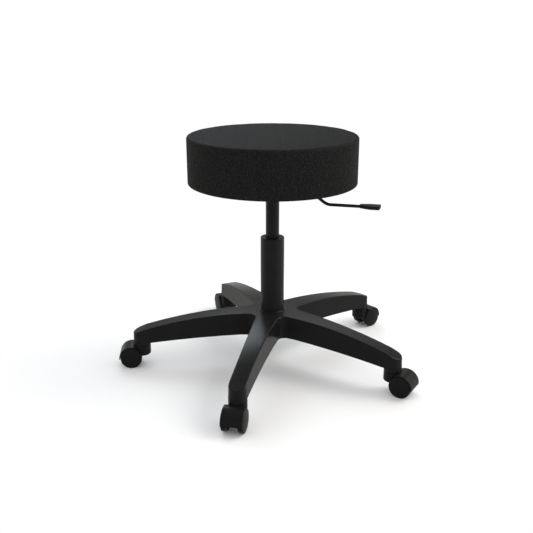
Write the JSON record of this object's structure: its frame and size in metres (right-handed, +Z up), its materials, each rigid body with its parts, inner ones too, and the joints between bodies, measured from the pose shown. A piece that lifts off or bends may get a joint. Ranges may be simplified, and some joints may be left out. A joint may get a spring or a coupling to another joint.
{
  "type": "swivel stool",
  "caption": "Round padded swivel stool with a gas lift, a side lever and a five-arm base on twin-wheel casters.",
  "frame": {"origin": "on the floor, on the axis of the column", "axes": "+Z is up, arm 1 points along -Y, and the height lever points along +X"},
  "size_m": [0.6632, 0.6309, 0.5103],
  "materials": {
    "base_nylon": "black glass-filled nylon, satin moulded face with soft edges",
    "caster_nylon": "black nylon, satin",
    "wheel_nylon": "black hard nylon, satin, slightly dulled on the tread",
    "zinc_steel": "zinc-plated steel",
    "bearing_steel": "ground bright steel",
    "black_steel": "black powder-coated steel, satin",
    "mechanism_steel": "black painted pressed steel",
    "bush_plastic": "black acetal",
    "grip_plastic": "dark grey moulded plastic, satin",
    "rubber": "black rubber",
    "brass": "turned brass",
    "piston_metal": "turned aluminium",
    "plywood": "birch plywood",
    "foam": "cut polyurethane foam",
    "leatherette": "black pebble-grained leatherette, satin",
    "dust_cloth": "black spun-bonded cloth"
  },
  "bodies": {
    "base": {"star_base": "base_nylon", "hub_ring": "black_steel", "column_tube": "black_steel", "guide_bush": "bush_plastic", "column_foot": "zinc_steel", "thrust_washer_lower": "bearing_steel", "stem_grip_rings": "zinc_steel", "caster_stem_1": "zinc_steel", "caster_stem_2": "zinc_steel", "caster_stem_3": "zinc_steel", "caster_stem_4": "zinc_steel", "caster_stem_5": "zinc_steel"},
    "rod": {"piston_rod": "bearing_steel", "piston_head": "piston_metal", "thrust_washer_upper": "bearing_steel", "bump_stop": "rubber", "retaining_clip": "zinc_steel"},
    "bearing_cage": {"ball_cage": "bush_plastic", "bearing_balls": "bearing_steel"},
    "seat": {"gas_cylinder": "black_steel", "pressure_tube": "bearing_steel", "rod_guide": "bush_plastic", "rod_seal": "rubber", "valve_body": "brass", "taper_socket": "mechanism_steel", "mechanism_channel": "mechanism_steel", "mounting_plate": "mechanism_steel", "lever_pivot_pin": "zinc_steel", "plate_bolts": "zinc_steel", "plate_washers": "zinc_steel", "tee_nuts": "zinc_steel", "seat_board": "plywood", "seat_foam": "foam", "seat_top_panel": "leatherette", "seat_side_band": "leatherette", "dust_cover": "dust_cloth"},
    "lever": {"lever_rod": "black_steel", "lever_fulcrum": "zinc_steel", "lever_grip": "grip_plastic"},
    "button": {"release_button": "bush_plastic"},
    "caster_1": {"caster_1_housing": "caster_nylon", "caster_1_axle": "zinc_steel"},
    "wheel_1_left": {"caster_1_wheel_left": "wheel_nylon"},
    "wheel_1_right": {"caster_1_wheel_right": "wheel_nylon"},
    "caster_2": {"caster_2_housing": "caster_nylon", "caster_2_axle": "zinc_steel"},
    "wheel_2_left": {"caster_2_wheel_left": "wheel_nylon"},
    "wheel_2_right": {"caster_2_wheel_right": "wheel_nylon"},
    "caster_3": {"caster_3_housing": "caster_nylon", "caster_3_axle": "zinc_steel"},
    "wheel_3_left": {"caster_3_wheel_left": "wheel_nylon"},
    "wheel_3_right": {"caster_3_wheel_right": "wheel_nylon"},
    "caster_4": {"caster_4_housing": "caster_nylon", "caster_4_axle": "zinc_steel"},
    "wheel_4_left": {"caster_4_wheel_left": "wheel_nylon"},
    "wheel_4_right": {"caster_4_wheel_right": "wheel_nylon"},
    "caster_5": {"caster_5_housing": "caster_nylon", "caster_5_axle": "zinc_steel"},
    "wheel_5_left": {"caster_5_wheel_left": "wheel_nylon"},
    "wheel_5_right": {"caster_5_wheel_right": "wheel_nylon"}
  },
  "joints": [
    {"name": "seat_swivel", "type": "hinge", "parent": "base", "child": "rod", "pos_m": [0, 0, 0.07], "axis": [0, 0, 1], "continuous": true},
    {"name": "cage_turn", "type": "hinge", "parent": "base", "child": "bearing_cage", "pos_m": [0, 0, 0.07445], "axis": [0, 0, 1], "continuous": true},
    {"name": "seat_lift", "type": "slide", "parent": "rod", "child": "seat", "axis": [0, 0, 1], "range_m": [-0.08, 0.04]},
    {"name": "lever_lift", "type": "hinge", "parent": "seat", "child": "lever", "pos_m": [0.05, 0, 0.397], "axis": [0, -1, 0], "range_deg": [0, 5.15], "stiffness_Nm_per_rad": 8, "springref_deg": -2.86},
    {"name": "button_press", "type": "slide", "parent": "seat", "child": "button", "axis": [0, 0, -1], "range_m": [0, 0.0045], "stiffness_N_per_m": 400, "springref_m": -0.001},
    {"name": "caster_1_swivel", "type": "hinge", "parent": "base", "child": "caster_1", "pos_m": [0, -0.2912, 0.0495], "axis": [0, 0, 1], "continuous": true},
    {"name": "wheel_1_left_spin", "type": "hinge", "parent": "caster_1", "child": "wheel_1_left", "pos_m": [0.0165, -0.3154, 0.0235], "axis": [1, 0, 0], "continuous": true},
    {"name": "wheel_1_right_spin", "type": "hinge", "parent": "caster_1", "child": "wheel_1_right", "pos_m": [-0.0165, -0.3154, 0.0235], "axis": [1, 0, 0], "continuous": true},
    {"name": "caster_2_swivel", "type": "hinge", "parent": "base", "child": "caster_2", "pos_m": [0.27695, -0.08999, 0.0495], "axis": [0, 0, 1], "continuous": true},
    {"name": "wheel_2_left_spin", "type": "hinge", "parent": "caster_2", "child": "wheel_2_left", "pos_m": [0.30506, -0.08177, 0.0235], "axis": [0.309, 0.9511, 0], "continuous": true},
    {"name": "wheel_2_right_spin", "type": "hinge", "parent": "caster_2", "child": "wheel_2_right", "pos_m": [0.29486, -0.11316, 0.0235], "axis": [0.309, 0.9511, 0], "continuous": true},
    {"name": "caster_3_swivel", "type": "hinge", "parent": "base", "child": "caster_3", "pos_m": [0.17116, 0.23559, 0.0495], "axis": [0, 0, 1], "continuous": true},
    {"name": "wheel_3_left_spin", "type": "hinge", "parent": "caster_3", "child": "wheel_3_left", "pos_m": [0.17204, 0.26486, 0.0235], "axis": [-0.809, 0.5878, 0], "continuous": true},
    {"name": "wheel_3_right_spin", "type": "hinge", "parent": "caster_3", "child": "wheel_3_right", "pos_m": [0.19874, 0.24547, 0.0235], "axis": [-0.809, 0.5878, 0], "continuous": true},
    {"name": "caster_4_swivel", "type": "hinge", "parent": "base", "child": "caster_4", "pos_m": [-0.17116, 0.23559, 0.0495], "axis": [0, 0, 1], "continuous": true},
    {"name": "wheel_4_left_spin", "type": "hinge", "parent": "caster_4", "child": "wheel_4_left", "pos_m": [-0.19874, 0.24547, 0.0235], "axis": [-0.809, -0.5878, 0], "continuous": true},
    {"name": "wheel_4_right_spin", "type": "hinge", "parent": "caster_4", "child": "wheel_4_right", "pos_m": [-0.17204, 0.26486, 0.0235], "axis": [-0.809, -0.5878, 0], "continuous": true},
    {"name": "caster_5_swivel", "type": "hinge", "parent": "base", "child": "caster_5", "pos_m": [-0.27695, -0.08999, 0.0495], "axis": [0, 0, 1], "continuous": true},
    {"name": "wheel_5_left_spin", "type": "hinge", "parent": "caster_5", "child": "wheel_5_left", "pos_m": [-0.29486, -0.11316, 0.0235], "axis": [0.309, -0.9511, 0], "continuous": true},
    {"name": "wheel_5_right_spin", "type": "hinge", "parent": "caster_5", "child": "wheel_5_right", "pos_m": [-0.30506, -0.08177, 0.0235], "axis": [0.309, -0.9511, 0], "continuous": true}
  ],
  "couplings": [
    {"joint": "cage_turn", "follows": "seat_swivel", "ratio": 0.5},
    {"joint": "button_press", "follows": "lever_lift", "m_per_rad": 0.05}
  ]
}
